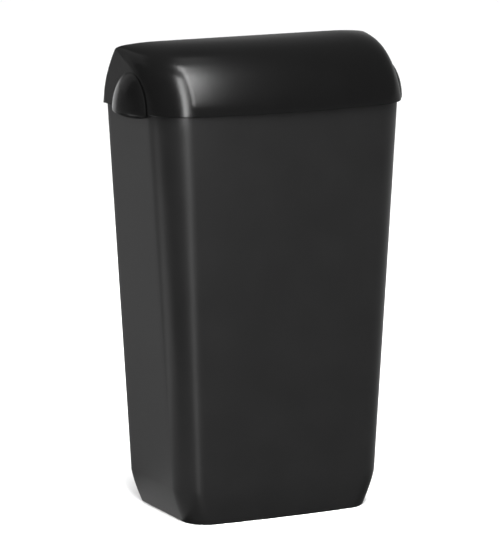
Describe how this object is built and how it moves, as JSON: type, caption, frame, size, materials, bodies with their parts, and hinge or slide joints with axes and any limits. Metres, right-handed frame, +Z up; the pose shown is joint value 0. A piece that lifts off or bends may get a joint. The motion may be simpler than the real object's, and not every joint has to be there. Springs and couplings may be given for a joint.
{
  "type": "swing-lid waste bin",
  "caption": "Slim tapered waste bin for a wall or floor, with a lift-out rim frame and a hood lid that swings open on side pivots under domed covers.",
  "frame": {"origin": "bottom centre of the whole object's box, on the surface it stands on", "axes": "+Z up, -Y towards the front, +Y towards the wall, +X along the lid's swing axis"},
  "size_m": [0.3738, 0.18, 0.5773],
  "materials": {
    "bin_plastic": "fine matt moulded black plastic",
    "lid_plastic": "satin-gloss moulded black plastic",
    "frame_plastic": "plain moulded black plastic",
    "bush_plastic": "natural acetal, smooth",
    "steel": "zinc-plated steel",
    "buffer_rubber": "soft black rubber"
  },
  "bodies": {
    "bin": {"bin_body": "bin_plastic"},
    "frame": {"rim_frame": "frame_plastic", "right_pivot_bracket": "frame_plastic", "left_pivot_bracket": "frame_plastic", "right_pivot_pin": "steel", "left_pivot_pin": "steel", "right_pin_clip": "steel", "left_pin_clip": "steel", "right_bracket_screw_front": "steel", "left_bracket_screw_front": "steel", "right_bracket_screw_back": "steel", "left_bracket_screw_back": "steel", "right_lid_buffer": "buffer_rubber", "left_lid_buffer": "buffer_rubber"},
    "lid": {"swing_lid": "lid_plastic", "right_pivot_cover": "lid_plastic", "left_pivot_cover": "lid_plastic", "right_pivot_bush": "bush_plastic", "left_pivot_bush": "bush_plastic"}
  },
  "joints": [
    {"name": "frame_lift", "type": "slide", "parent": "bin", "child": "frame", "axis": [0, 0, 1], "range_m": [0, 0.12]},
    {"name": "lid_swing", "type": "hinge", "parent": "frame", "child": "lid", "pos_m": [0, 0.0167, 0.521], "axis": [-1, 0, 0], "range_deg": [0, 45]}
  ]
}
